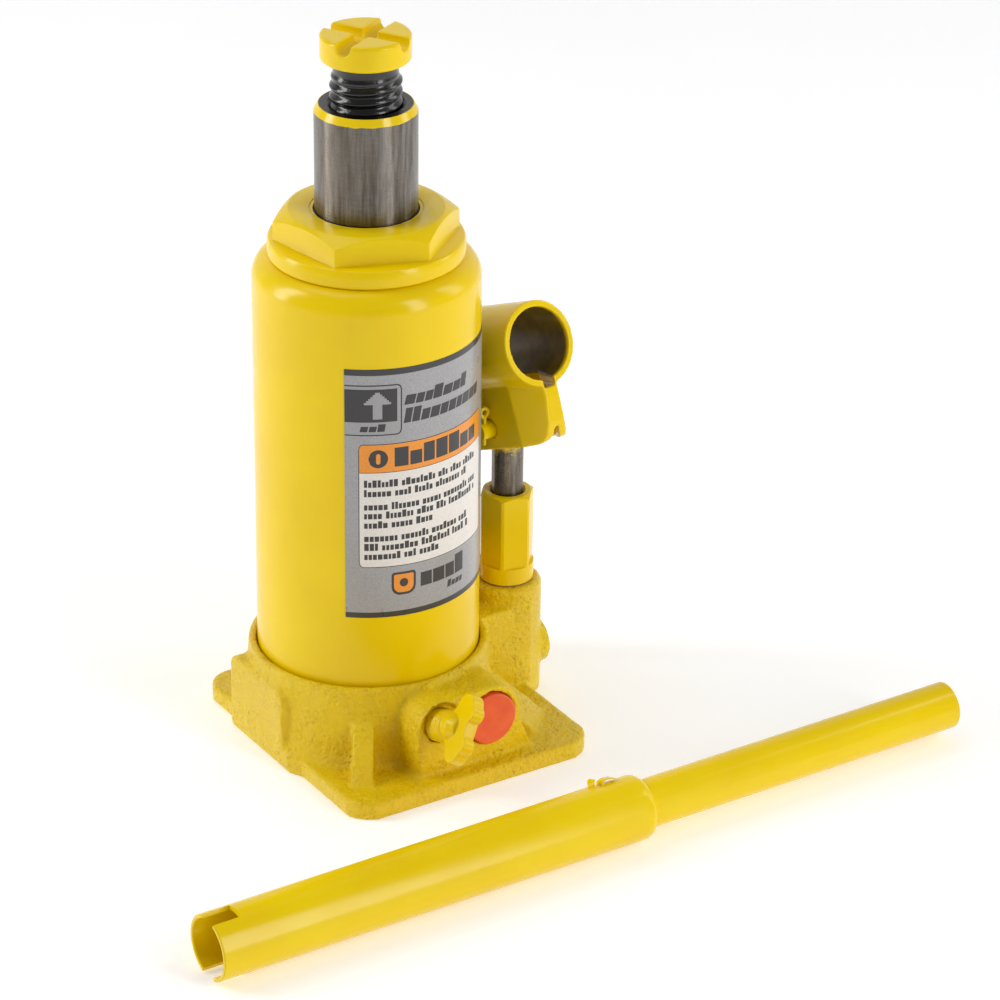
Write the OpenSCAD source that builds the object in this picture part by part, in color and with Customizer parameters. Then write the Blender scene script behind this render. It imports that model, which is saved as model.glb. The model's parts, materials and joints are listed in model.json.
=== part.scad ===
// Eight-tonne hydraulic bottle jack with a two-piece tube handle.
// Millimetres, +Z up, origin on the ram axis at the underside of the base casting.

/* [Base casting] */
// Plate edge on the -X side
plate_x0 = -43.8; // [-46:0.1:-43.6]
// Plate edge on the pump side
plate_x1 = 60.7; // [58:0.1:64]
// Plate edge on the release valve side
plate_y0 = -66; // [-70:0.5:-64]
// Plate edge on the far side
plate_y1 = 52.5; // [50:0.5:56]
// Plate thickness
plate_t = 7; // [6:0.5:8]
// Plate corner radius
plate_r = 11; // [8:1:14]
// Height of the collar round the tank
collar_h = 38.5; // [37:0.5:40]
// Collar radius at its top edge
collar_r = 45; // [44.5:0.1:46]

/* [Tank] */
// Outside radius of the oil tank
tank_r = 42; // [41.6:0.1:42.1]
// Wall of the oil tank
tank_wall = 3; // [2:0.5:3.5]
// Height of the tank's upper edge
tank_top = 195.5; // [190:0.5:200]
// Radius of the rolled shoulder
shoulder_r = 9; // [6:0.5:10]
// Lower edge of the label
label_z0 = 66.9; // [60:0.1:80]
// Upper edge of the label
label_z1 = 167.2; // [150:0.1:175]

/* [Ram and screw] */
// Outside radius of the ram
ram_r = 18.8; // [18.5:0.1:18.82]
// Height of the ram's top face
ram_top = 252.9; // [248:0.1:256]
// Length of the ram
ram_len = 197; // [190:1:197]
// Inside radius of the working cylinder
cyl_r = 21; // [20.9:0.1:22]
// Crest radius of the extension screw
screw_r = 13.2; // [12.5:0.1:13.22]
// Pitch of the extension screw
screw_pitch = 4; // [3:0.5:5]
// Saddle radius
saddle_r = 16.5; // [15:0.5:18]
// Underside of the saddle
saddle_z0 = 269.6; // [269.4:0.1:275]
// Top of the saddle
saddle_z1 = 279.3; // [278:0.1:284]

/* [Pump and handle socket] */
// Pump axis, X
pump_x = 60; // [59:0.5:61]
// Pump axis, Y
pump_y = -3; // [-4:0.5:-2]
// Plunger radius
plunger_r = 6.05; // [6:0.01:6.06]
// Turn of the handle socket away from the -Y direction
pump_yaw = 8; // [6:1:10]
// Rise of the socket's axis
socket_tilt = 23; // [21:1:25]
// Bore radius of the handle socket
socket_bore = 13.65; // [13.4:0.05:14]
// Sheet thickness of the handle socket
sheet_t = 2.5; // [2:0.1:2.6]
// Height of the plunger pin and of the fulcrum pin
pin_z = 113.3; // [112.5:0.1:114]
// Distance from the plunger pin to the fulcrum pin
lever_arm = 35; // [34:0.5:36]

/* [Handle] */
// Outside radius of the large handle tube
handle_r = 12.3; // [11.8:0.1:12.4]
// Outside radius of the small handle tube
grip_r = 9.1; // [8.6:0.1:9.12]
// Length of the large handle tube
handle_len = 182; // [180:1:200]
// Length of the small handle tube
grip_len = 166; // [150:1:170]

/* [Hidden] */
$fn = 96;
eps = 0.05;
fit = 0.05;
yellow = [0.91, 0.80, 0.08];
cast_yellow = [0.89, 0.78, 0.07];
steel = [0.55, 0.53, 0.50];
dark_steel = [0.16, 0.15, 0.14];
orange = [0.93, 0.40, 0.14];
grey = [0.62, 0.62, 0.63];
black = [0.06, 0.06, 0.06];
floor_z = 24;
well_r = 18;
cyl_z0 = 20;
cyl_out = 24.5;
nut_flange_r = 36.2;
nut_flange_t = 7.1;
nut_hex_r = 34.4;
nut_top = 212.7;
nut_turn = 40;
bore_r = ram_r + fit;
ram_z0 = ram_top - ram_len;
screw_bore = screw_r + 0.08;
screw_root = 11.9;
screw_neck = 11.8;
screw_z0 = 170;
ring_h = 5;
boss_y = -58.5;
valve_x = -3.5;
valve_y = -60;
valve_z = 27.6;
valve_tilt = 20;
valve_thread = 6.3;
wing_turn = -32;
plug_x = 18.2;
plug_z = 23.8;
plug_r = 10.2;
lug_z = 16.5;
lug_x = 75.3;
boss_r = 13.5;
boss_top = 47.7;
barrel_bore = plunger_r + fit;
barrel_top = 84.9;
barrel_af = 18.75;
barrel_turn = 48.6;
pin_s = 0.8;
fulcrum_s = pin_s - lever_arm;
link_pin_z = 34;
pin_r = 3.4;
link_pin_r = 4;
cheek_x = 9.5;
mouth_s = 17.4;
mouth_z = 151.8;
socket_len = 52;
skirt_w = 37.2;
fulcrum_u = (fulcrum_s - mouth_s) * cos(socket_tilt) + (pin_z - mouth_z) * sin(socket_tilt);
fulcrum_w = -(fulcrum_s - mouth_s) * sin(socket_tilt) + (pin_z - mouth_z) * cos(socket_tilt);
pin_u = (pin_s - mouth_s) * cos(socket_tilt) + (pin_z - mouth_z) * sin(socket_tilt);
pin_w = -(pin_s - mouth_s) * sin(socket_tilt) + (pin_z - mouth_z) * cos(socket_tilt);
strap_x0 = 3.5;
strap_x1 = 6.5;
ear_x = 3.3;
handle_yaw = 0.56;
handle_x0 = -139.7;
handle_y0 = -126.3;
handle_wall = 1.6;
grip_in = 26;
grip_wall = 1.5;
saddle_groove = 29;
label_a0 = 228;
label_a1 = 396;

// Local frames -------------------------------------------------------------

// Pump frame: origin on the pump axis at floor level, handle direction along -Y.
module pump_frame() {
    translate([pump_x, pump_y, 0]) rotate([0, 0, pump_yaw]) children();
}

// Socket frame: origin at the mouth centre, tube axis along +Z towards the mouth, +Y is up.
module socket_frame() {
    pump_frame() translate([0, -mouth_s, mouth_z]) rotate([90 - socket_tilt, 0, 0]) children();
}

// Valve frame: origin on the boss face, +Z out along the inclined spindle.
module valve_frame() {
    translate([valve_x, valve_y, valve_z]) rotate([90 - valve_tilt, 0, 0]) children();
}

// Handle frame: origin at the slotted end, tube axis along +X.
module handle_frame() {
    translate([handle_x0, handle_y0, handle_r]) rotate([0, 0, handle_yaw]) children();
}

// Shared shapes ------------------------------------------------------------

module tube(r_out, r_in, h) {
    difference() {
        cylinder(r = r_out, h = h);
        translate([0, 0, -1]) cylinder(r = r_in, h = h + 2);
    }
}

module rounded_rect(x0, y0, x1, y1, r) {
    translate([x0 + r, y0]) square([x1 - x0 - 2 * r, y1 - y0]);
    translate([x0, y0 + r]) square([x1 - x0, y1 - y0 - 2 * r]);
    for (x = [x0 + r, x1 - r], y = [y0 + r, y1 - r]) translate([x, y]) circle(r = r);
}

// A plate across X with its outline drawn in Y and Z.
module x_plate(x0, x1) {
    translate([x0, 0, 0]) rotate([90, 0, 90]) linear_extrude(x1 - x0) children();
}

// A headed pin along X with a cross hole near its plain end.
module clevis_pin(r, x0, x1, head_r, head_t, hole_x) {
    difference() {
        union() {
            translate([x0, 0, 0]) rotate([0, 90, 0]) cylinder(r = r, h = x1 - x0, $fn = 48);
            translate([x1, 0, 0]) rotate([0, 90, 0]) cylinder(r = head_r, h = head_t, $fn = 48);
        }
        translate([hole_x, 0, -2 * r]) cylinder(r = 0.95, h = 4 * r, $fn = 24);
    }
}

// A split pin standing in that cross hole, eye at the top and legs bent below.
module cotter(r, leg) {
    translate([0, 0, -r - 3]) cylinder(r = 0.85, h = 2 * r + 3 + leg, $fn = 24);
    translate([0, 0, r + leg + 1.2]) rotate([90, 0, 0])
        rotate_extrude($fn = 32) translate([1.6, 0]) circle(r = 0.75, $fn = 16);
}

// Base ---------------------------------------------------------------------

module collar() {
    rotate_extrude($fn = 128) polygon([
        [0, 0], [50, 0], [50, plate_t], [48.6, plate_t + 0.9], [47.4, plate_t + 2.6],
        [46.7, plate_t + 5], [46.2, 24], [collar_r + 0.4, collar_h - 1],
        [collar_r - 0.2, collar_h], [0, collar_h]]);
}

module side_pad() {
    x_plate(-46.5, -30) {
        translate([-14.5, 0]) square([39.5, 26.3]);
        translate([-9.5, 20]) square([29.5, 11.3]);
        for (y = [-9.5, 20]) translate([y, 26.3]) circle(r = 5);
    }
}

module corner_rib() {
    rotate([0, 0, -123]) rotate([90, 0, 0]) translate([0, 0, -4]) linear_extrude(8)
        polygon([[38, 1], [66, 1], [66, 5], [62, 8.5], [51, 21], [47.5, 24.6], [38, 25]]);
}

module front_boss() {
    translate([0, boss_y, 0]) rotate([90, 0, 180]) mirror([1, 0, 0]) linear_extrude(30) {
        translate([valve_x, valve_z - 0.8]) circle(r = 9.8);
        translate([plug_x, plug_z]) circle(r = 13);
        polygon([[-13.3, 1], [-13.3, valve_z], [valve_x, valve_z + 8], [plug_x, plug_z + 13],
                 [plug_x + 12.6, plug_z - 2], [37.4, 5], [37.4, 1]]);
    }
}

module corner_gusset() {
    translate([36, -34, 0]) rotate([0, 0, -42]) rotate([90, 0, 0]) translate([0, 0, -9])
        linear_extrude(18) polygon([[-16, 1], [20, 1], [20, 5], [-4, 24], [-16, 30]]);
}

module pump_block() {
    translate([pump_x, pump_y, 0]) cylinder(r = boss_r, h = boss_top - 1.2);
    translate([pump_x, pump_y, boss_top - 1.2]) cylinder(r1 = boss_r, r2 = boss_r - 1.2, h = 1.2);
    translate([30, -17, 0]) cube([pump_x - 27, 25.5, 40.7]);
    translate([pump_x, pump_y, lug_z]) rotate([0, 90, 0]) cylinder(r = 9.2, h = lug_x - pump_x);
}

module link_ear() {
    pump_frame() x_plate(-ear_x, ear_x) {
        translate([-fulcrum_s, link_pin_z]) circle(r = 9);
        polygon([[8, 3], [-fulcrum_s + 9, 3], [-fulcrum_s + 9, link_pin_z], [-fulcrum_s, link_pin_z + 9],
                 [-fulcrum_s - 7, link_pin_z + 5], [20, 26], [8, 24]]);
    }
}

module oil_ways() {
    translate([pump_x, pump_y, lug_z]) cylinder(r = 2, h = 6, $fn = 24);
    translate([14, pump_y, lug_z]) rotate([0, 90, 0]) cylinder(r = 2.2, h = 54, $fn = 24);
    translate([lug_x - 8.5, pump_y, lug_z]) rotate([0, 90, 0]) cylinder(r = 5, h = 12, $fn = 48);
    valve_frame() translate([0, 0, -46]) cylinder(r = 1.5, h = 30, $fn = 24);
    translate([valve_x, -36.5, 19]) cylinder(r = 1.5, h = 8, $fn = 24);
}

module base() {
    color(cast_yellow) difference() {
        union() {
            linear_extrude(plate_t) rounded_rect(plate_x0, plate_y0, plate_x1, plate_y1, plate_r);
            intersection() {
                collar();
                translate([-46.6, -60, 0]) cube([120, 120, 60]);
            }
            side_pad();
            corner_rib();
            front_boss();
            corner_gusset();
            pump_block();
            link_ear();
        }
        translate([0, 0, floor_z]) cylinder(r = tank_r + 0.4, h = 40, $fn = 128);
        translate([0, 0, cyl_z0 - 1]) cylinder(r = cyl_out + 0.1, h = 10);
        translate([0, 0, 11]) cylinder(r = well_r, h = 20);
        translate([pump_x, pump_y, 20]) cylinder(r = 9.1, h = 40);
        pump_frame() translate([-10, -fulcrum_s, link_pin_z]) rotate([0, 90, 0])
            cylinder(r = link_pin_r + fit, h = 20, $fn = 48);
        valve_frame() {
            translate([0, 0, -15]) cylinder(r = valve_thread + 0.08, h = 30, $fn = 64);
            translate([0, 0, -24]) cylinder(r = 3.2, h = 12, $fn = 32);
            translate([0, 0, -2.2]) cylinder(r = 8.6, h = 12, $fn = 64);
        }
        translate([plug_x, boss_y + 8.5, plug_z]) rotate([90, 0, 0]) cylinder(r = plug_r + 0.35, h = 30);
        translate([plug_x, -42, plug_z]) rotate([90, 0, 0]) cylinder(r = 4.1, h = 12, $fn = 48);
        oil_ways();
    }
}

// Tank, nut and cylinder ---------------------------------------------------

module tank() {
    lip_z = tank_top - 2.6;
    color(yellow) difference() {
        rotate_extrude($fn = 128) union() {
            translate([tank_r - tank_wall, floor_z + 1.5])
                square([tank_wall, tank_top - shoulder_r - floor_z - 1.5]);
            intersection() {
                difference() {
                    translate([tank_r - shoulder_r, tank_top - shoulder_r]) circle(r = shoulder_r, $fn = 96);
                    translate([tank_r - shoulder_r, tank_top - shoulder_r])
                        circle(r = shoulder_r - 2.6, $fn = 96);
                }
                translate([tank_r - shoulder_r, tank_top - shoulder_r]) square([shoulder_r, shoulder_r]);
            }
            translate([29.6, lip_z]) square([tank_r - shoulder_r - 29.6 + eps, 2.6]);
        }
        rotate([0, 0, 100]) translate([34, 0, 176]) rotate([0, 90, 0])
            cylinder(r = 4.5, h = 12, $fn = 48);
    }
}

module tank_gasket() {
    color(black) translate([0, 0, floor_z]) tube(tank_r + 0.2, tank_r - tank_wall - 0.5, 1.5);
}

module label() {
    wedge = [for (a = [label_a0:24:label_a1]) [60 * cos(a), 60 * sin(a)]];
    color(grey) translate([0, 0, label_z0]) linear_extrude(label_z1 - label_z0) intersection() {
        difference() {
            circle(r = tank_r + 0.15, $fn = 128);
            circle(r = tank_r, $fn = 128);
        }
        polygon(concat([[0, 0]], wedge));
    }
}

module filler_plug() {
    color(black) rotate([0, 0, 100]) translate([0, 0, 176]) rotate([0, 90, 0]) {
        translate([0, 0, 37]) cylinder(r = 4.4, h = 5.5, $fn = 48);
        translate([0, 0, 42.1]) cylinder(r1 = 6.5, r2 = 5.6, h = 2.1, $fn = 48);
        translate([0, 0, 36.2]) cylinder(r1 = 4, r2 = 5.2, h = 2, $fn = 48);
    }
}

module top_nut() {
    hex_z = tank_top + nut_flange_t;
    color(yellow) difference() {
        union() {
            rotate_extrude($fn = 128) polygon([
                [0, tank_top], [nut_flange_r - 0.5, tank_top], [nut_flange_r, tank_top + 0.6],
                [nut_flange_r, hex_z - 1.8], [nut_flange_r - 0.6, hex_z - 0.5],
                [nut_flange_r - 1.9, hex_z], [0, hex_z]]);
            intersection() {
                rotate([0, 0, nut_turn]) translate([0, 0, hex_z - 1])
                    linear_extrude(nut_top - hex_z + 1) circle(r = nut_hex_r, $fn = 6);
                translate([0, 0, hex_z - 2]) cylinder(r = 40, h = nut_top - hex_z - 1.4);
            }
            intersection() {
                rotate([0, 0, nut_turn]) translate([0, 0, hex_z]) linear_extrude(20)
                    circle(r = nut_hex_r, $fn = 6);
                translate([0, 0, nut_top - 3.5]) cylinder(r1 = nut_hex_r + 0.2, r2 = 28.5, h = 3.5);
            }
            translate([0, 0, 184]) cylinder(r = 29.3, h = tank_top - 184 + eps);
        }
        translate([0, 0, 180]) cylinder(r = bore_r, h = 60);
        translate([0, 0, 183]) cylinder(r = cyl_out, h = 13);
        translate([0, 0, 198]) cylinder(r = 22, h = 4);
        translate([0, 0, nut_top - 2.5]) cylinder(r = 20.8, h = 5);
    }
}

module wiper_ring() {
    color(black) translate([0, 0, nut_top - 2.5]) tube(20.75, ram_r + 0.02, 2.2);
}

module rod_seal() {
    color(black) translate([0, 0, 198]) tube(21.95, ram_r + 0.02, 4);
}

module inner_cylinder() {
    color(steel) translate([0, 0, cyl_z0]) difference() {
        cylinder(r = cyl_out - 0.05, h = 195 - cyl_z0);
        translate([0, 0, -1]) cylinder(r = cyl_r, h = 200);
    }
}

module cylinder_gasket() {
    color("peru") translate([0, 0, cyl_z0 - 1]) tube(cyl_out - 0.1, cyl_r, 1);
}

// Ram, screw and saddle ----------------------------------------------------

module ram() {
    color(steel) difference() {
        union() {
            translate([0, 0, ram_z0]) cylinder(r = ram_r, h = ram_len - 2.6);
            translate([0, 0, ram_top - 2.6]) cylinder(r1 = ram_r, r2 = ram_r - 1.5, h = 2.6);
            translate([0, 0, ram_z0]) cylinder(r = cyl_r - 0.05, h = 18);
        }
        translate([0, 0, 143]) cylinder(r = screw_bore, h = 160);
        translate([0, 0, ram_top - 1]) cylinder(r1 = screw_bore, r2 = screw_bore + 1.2, h = 1.2);
        translate([0, 0, ram_z0 + 5]) tube(cyl_r + 1, cyl_r - 3.4, 5);
    }
}

module piston_seal() {
    color(black) translate([0, 0, ram_z0 + 5]) tube(cyl_r - 0.03, cyl_r - 3.35, 5);
}

module screw_guide_ring() {
    color("peru") translate([0, 0, screw_z0 + 2]) tube(screw_bore - 0.05, 9.05, ring_h);
}

// Thread ridges at the pitch of the screw, over a plain core.
module extension_screw() {
    ridge_z0 = screw_z0 + 2 + ring_h + 1;
    ridges = floor((saddle_z0 - 7 - ridge_z0) / screw_pitch);
    ridge = [for (i = [0:ridges - 1]) each [
        [screw_root, ridge_z0 + i * screw_pitch], [screw_r - 0.15, ridge_z0 + (i + 0.3) * screw_pitch],
        [screw_r, ridge_z0 + (i + 0.4) * screw_pitch], [screw_r, ridge_z0 + (i + 0.6) * screw_pitch],
        [screw_r - 0.15, ridge_z0 + (i + 0.7) * screw_pitch]]];
    color(dark_steel) {
        rotate_extrude($fn = 64) polygon(concat(
            [[0, screw_z0], [11.5, screw_z0], [11.5, screw_z0 + 1.95], [9, screw_z0 + 1.95],
             [9, screw_z0 + 7.1], [screw_root, screw_z0 + 7.1]],
            ridge,
            [[screw_root, ridge_z0 + ridges * screw_pitch], [screw_neck, saddle_z0 - 5],
             [screw_neck, saddle_z0], [8, saddle_z0], [8, saddle_z0 + 4], [0, saddle_z0 + 4]]));
    }
}

module saddle() {
    color(yellow) difference() {
        union() {
            translate([0, 0, saddle_z0]) cylinder(r1 = saddle_r - 0.8, r2 = saddle_r, h = 0.8);
            translate([0, 0, saddle_z0 + 0.8]) cylinder(r = saddle_r, h = saddle_z1 - saddle_z0 - 1.6);
            translate([0, 0, saddle_z1 - 0.8]) cylinder(r1 = saddle_r, r2 = saddle_r - 0.8, h = 0.8);
        }
        translate([0, 0, saddle_z0 - 1]) cylinder(r = 8.02, h = 5.02);
        for (a = [saddle_groove, saddle_groove + 90]) rotate([0, 0, a]) translate([-20, 0, saddle_z1 - 1]) {
            rotate([0, 90, 0]) cylinder(r = 3, h = 40, $fn = 32);
            translate([0, -3, 0]) cube([40, 6, 3]);
        }
    }
}

// Pump ---------------------------------------------------------------------

module pump_barrel() {
    color(yellow) translate([pump_x, pump_y, 0]) difference() {
        union() {
            translate([0, 0, 24]) cylinder(r = 9, h = 25);
            translate([0, 0, 48.5]) cylinder(r = 10.45, h = 6.5);
            intersection() {
                rotate([0, 0, barrel_turn]) translate([0, 0, 54]) linear_extrude(barrel_top - 54)
                    circle(r = barrel_af / sqrt(3), $fn = 6);
                translate([0, 0, 50]) cylinder(r = 10.5, h = barrel_top - 51.2);
            }
            intersection() {
                rotate([0, 0, barrel_turn]) translate([0, 0, 54]) linear_extrude(barrel_top - 54)
                    circle(r = barrel_af / sqrt(3), $fn = 6);
                translate([0, 0, barrel_top - 1.3]) cylinder(r1 = 10.9, r2 = 8.9, h = 1.3);
            }
        }
        translate([0, 0, 20]) cylinder(r = barrel_bore, h = 70, $fn = 64);
        translate([0, 0, 76]) cylinder(r = 7.4, h = 3, $fn = 64);
        translate([0, 0, barrel_top - 1]) cylinder(r1 = barrel_bore, r2 = barrel_bore + 1, h = 1.01, $fn = 64);
    }
}

module barrel_gasket() {
    color("peru") translate([pump_x, pump_y, boss_top]) tube(10.2, 9.1, 0.8);
}

module plunger_seal() {
    color(black) translate([pump_x, pump_y, 76]) tube(7.35, plunger_r + 0.02, 3);
}

module plunger() {
    half = 0.95;
    color(steel) pump_frame() difference() {
        union() {
            translate([0, 0, 40]) cylinder(r = plunger_r, h = 78.5, $fn = 64);
            translate([0, 0, 118.5]) cylinder(r1 = plunger_r, r2 = plunger_r - 1.5, h = 1.5, $fn = 64);
        }
        for (y = [-half, half]) translate([-10, y, pin_z]) rotate([0, 90, 0])
            cylinder(r = pin_r + 0.17, h = 20, $fn = 48);
        translate([-10, -half, pin_z - pin_r - 0.17]) cube([20, 2 * half, 2 * pin_r + 0.34]);
    }
}

// Handle socket ------------------------------------------------------------

module socket_side() {
    polygon([[0, -10], [0, -20], [-1.5, -30], [-3.2, -34.6], [-5, -36.4], [-7.5, -skirt_w],
             [-44, -skirt_w], [-50, -36], [fulcrum_u - 5.5, fulcrum_w - 7.8], [fulcrum_u - 9.5, fulcrum_w],
             [fulcrum_u - 6.5, fulcrum_w + 7], [fulcrum_u, fulcrum_w + 9.5], [-52, -5], [-40, -3]]);
    translate([fulcrum_u, fulcrum_w]) circle(r = 9.5, $fn = 64);
}

module handle_socket() {
    outer = socket_bore + sheet_t;
    relief = 1.3;
    inner_x = cheek_x - sheet_t;
    plan = [[-cheek_x, -80], [-cheek_x, -13.5], [-3.2, 0], [3.2, 0], [cheek_x, -13.5], [cheek_x, -80]];
    hollow = [[-inner_x, -81], [-inner_x, -14.5], [-0.6, -2.4], [0.6, -2.4], [inner_x, -14.5], [inner_x, -81]];
    throat = [[-inner_x, -81], [-inner_x, -14.5], [-2.1, 1], [2.1, 1], [inner_x, -14.5], [inner_x, -81]];
    color(yellow) socket_frame() difference() {
        union() {
            translate([0, 0, -socket_len]) cylinder(r = outer, h = socket_len, $fn = 96);
            intersection() {
                translate([0, -1, 0]) rotate([90, 0, 0]) linear_extrude(60) polygon(plan);
                rotate([0, -90, 0]) translate([0, 0, -20]) linear_extrude(40) socket_side();
            }
        }
        translate([0, 0, -socket_len - 30]) cylinder(r = socket_bore, h = socket_len + 40, $fn = 96);
        translate([0, 0, -socket_len - 30]) cylinder(r = socket_bore + relief, h = 30, $fn = 96);
        translate([0, -outer + 0.6, 0]) rotate([90, 0, 0]) linear_extrude(60) polygon(hollow);
        translate([0, -5, 0]) rotate([90, 0, 0]) linear_extrude(outer - 4.4) polygon(throat);
        translate([-30, pin_w, pin_u]) rotate([0, 90, 0]) cylinder(r = pin_r + fit, h = 60, $fn = 48);
        translate([-30, fulcrum_w, fulcrum_u]) rotate([0, 90, 0])
            cylinder(r = link_pin_r + fit, h = 60, $fn = 48);
    }
}

module plunger_pin() {
    color(yellow) pump_frame() translate([0, -pin_s, pin_z])
        clevis_pin(pin_r, -15.2, cheek_x + 0.2, 5.4, 2.2, -12.6);
}

module plunger_cotter() {
    color(yellow) pump_frame() translate([-12.6, -pin_s, pin_z]) cotter(pin_r, 3.2);
}

module fulcrum_pin() {
    color(yellow) pump_frame() translate([0, -fulcrum_s, pin_z])
        clevis_pin(link_pin_r, -14.6, cheek_x + 0.2, 6, 2.2, -12.2);
}

module fulcrum_cotter() {
    color(steel) pump_frame() translate([-12.2, -fulcrum_s, pin_z]) cotter(link_pin_r, 2.4);
}

module strap(side) {
    x0 = side > 0 ? strap_x0 : -strap_x1;
    color(yellow) pump_frame() difference() {
        x_plate(x0, x0 + strap_x1 - strap_x0) translate([-fulcrum_s, 0]) {
            translate([0, link_pin_z]) circle(r = 8.2, $fn = 64);
            translate([0, pin_z]) circle(r = 8.2, $fn = 64);
            translate([-8.2, link_pin_z]) square([16.4, pin_z - link_pin_z]);
        }
        for (z = [link_pin_z, pin_z]) translate([-20, -fulcrum_s, z]) rotate([0, 90, 0])
            cylinder(r = link_pin_r + fit, h = 40, $fn = 48);
    }
}

module link_left() {
    strap(-1);
}

module link_right() {
    strap(1);
}

module link_pin() {
    color(yellow) pump_frame() translate([0, -fulcrum_s, link_pin_z])
        clevis_pin(link_pin_r, -11.4, strap_x1 + 0.2, 6, 2.2, -9);
}

module link_cotter() {
    color(steel) pump_frame() translate([-9, -fulcrum_s, link_pin_z]) cotter(link_pin_r, 2.4);
}

// Valves -------------------------------------------------------------------

module release_ball() {
    color(steel) valve_frame() translate([0, 0, -21]) sphere(r = 2.5, $fn = 32);
}

module wing_outline() {
    for (s = [-1, 1]) {
        translate([s * 8.3, 5.6]) circle(r = 5, $fn = 48);
        translate([s * 6.2, 9.6]) circle(r = 3.1, $fn = 48);
    }
    translate([-8, 2.2]) square([16, 8.2]);
    polygon([[-6, -1.5], [6, -1.5], [9, 1], [9, 4], [-9, 4], [-9, 1]]);
}

module release_valve() {
    color(yellow) valve_frame() {
        rotate_extrude($fn = 64) polygon(concat(
            [[0, -18.4], [2.6, -18.4], [2.6, -14.5], [4.8, -14.5], [4.8, -12]],
            [for (i = [0:11]) each [[6.25, -12 + 1.6 * i + 0.5], [6.25, -12 + 1.6 * i + 0.9],
                                    [5.6, -12 + 1.6 * i + 1.6]]],
            [[5.5, 8.5], [5.9, 10.5], [4, 14], [0, 14]]));
        rotate([0, 0, wing_turn + 90]) translate([0, 0, 9.5]) rotate([90, 0, 0]) translate([0, 0, -2.5])
            linear_extrude(5) wing_outline();
    }
}

module valve_seal() {
    color(black) valve_frame() translate([0, 0, -14.4]) tube(6.2, 4.85, 2.2);
}

module overload_cap() {
    color(orange) translate([plug_x, boss_y + 4, plug_z]) rotate([90, 0, 0]) {
        cylinder(r = plug_r, h = 5);
        translate([0, 0, 5]) cylinder(r1 = plug_r, r2 = plug_r - 0.6, h = 0.6);
    }
}

module overload_screw() {
    color(steel) translate([plug_x, -47, plug_z]) rotate([90, 0, 0]) difference() {
        cylinder(r = 4.05, h = 6, $fn = 48);
        translate([-5, -0.6, 4.6]) cube([10, 1.2, 2]);
    }
}

module overload_ball() {
    color(steel) translate([plug_x, -44.6, plug_z]) sphere(r = 2.35, $fn = 32);
}

module check_plug() {
    color(yellow) translate([lug_x - 8.4, pump_y, lug_z]) rotate([0, 90, 0]) difference() {
        cylinder(r = 4.95, h = 8, $fn = 48);
        translate([0, 0, 4]) cylinder(r = 2.9, h = 5, $fn = 6);
    }
}

module suction_ball() {
    color(steel) translate([pump_x, pump_y, 23.1]) sphere(r = 3, $fn = 32);
}

// Handle -------------------------------------------------------------------

module handle_tube() {
    neck = 16;
    color(yellow) handle_frame() difference() {
        union() {
            rotate([0, 90, 0]) cylinder(r = handle_r, h = handle_len - 2);
            translate([handle_len - 2, 0, 0]) rotate([0, 90, 0])
                cylinder(r1 = handle_r, r2 = handle_r - 1.2, h = 2);
            translate([handle_len - 20, -2.6, handle_r - 1]) cube([6.5, 5.2, 3]);
        }
        translate([-1, 0, 0]) rotate([0, 90, 0]) cylinder(r = handle_r - handle_wall, h = handle_len - neck + 1);
        translate([-1, 0, 0]) rotate([0, 90, 0]) cylinder(r = grip_r + fit, h = handle_len + 2);
        translate([-1, -4, -20]) cube([11, 8, 40]);
    }
}

module handle_grip() {
    color(yellow) handle_frame() translate([handle_len - grip_in, 0, 0]) rotate([0, 90, 0])
        tube(grip_r, grip_r - grip_wall, grip_len);
}

base();
tank();
tank_gasket();
label();
filler_plug();
top_nut();
wiper_ring();
rod_seal();
inner_cylinder();
cylinder_gasket();
ram();
piston_seal();
screw_guide_ring();
extension_screw();
saddle();
pump_barrel();
barrel_gasket();
plunger();
plunger_seal();
handle_socket();
plunger_pin();
plunger_cotter();
fulcrum_pin();
fulcrum_cotter();
link_left();
link_right();
link_pin();
link_cotter();
release_ball();
release_valve();
valve_seal();
overload_cap();
overload_screw();
overload_ball();
check_plug();
suction_ball();
handle_tube();
handle_grip();
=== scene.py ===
"""A hydraulic bottle jack with its two-piece handle on a pale studio floor.

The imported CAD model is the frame. Pieces whose real shape is softer or finer than
the CAD solid are rebuilt here and stand for that node; the others keep their mesh
and get a procedural material.
"""

import json
import math
import random

import bmesh
import bpy
from mathutils import Matrix, Vector, noise


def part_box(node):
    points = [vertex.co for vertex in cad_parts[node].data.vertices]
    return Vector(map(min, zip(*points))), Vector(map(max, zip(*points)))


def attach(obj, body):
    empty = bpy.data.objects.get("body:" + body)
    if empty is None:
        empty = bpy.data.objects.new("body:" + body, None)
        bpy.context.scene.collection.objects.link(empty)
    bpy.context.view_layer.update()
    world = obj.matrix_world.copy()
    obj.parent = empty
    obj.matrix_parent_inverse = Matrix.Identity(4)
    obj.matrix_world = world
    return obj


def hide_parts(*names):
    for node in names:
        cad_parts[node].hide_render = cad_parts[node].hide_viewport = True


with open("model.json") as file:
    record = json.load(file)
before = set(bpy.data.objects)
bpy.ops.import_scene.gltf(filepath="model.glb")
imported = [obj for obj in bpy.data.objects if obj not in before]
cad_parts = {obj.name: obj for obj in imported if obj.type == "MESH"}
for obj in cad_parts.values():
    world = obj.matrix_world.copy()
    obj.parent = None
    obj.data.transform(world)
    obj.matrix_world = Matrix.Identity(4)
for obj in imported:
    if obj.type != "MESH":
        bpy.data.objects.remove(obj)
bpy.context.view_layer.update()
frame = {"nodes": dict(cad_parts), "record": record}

MM = 0.001
MOUNTS = {mount["name"]: mount for mount in frame["record"]["mounts"]}

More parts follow.
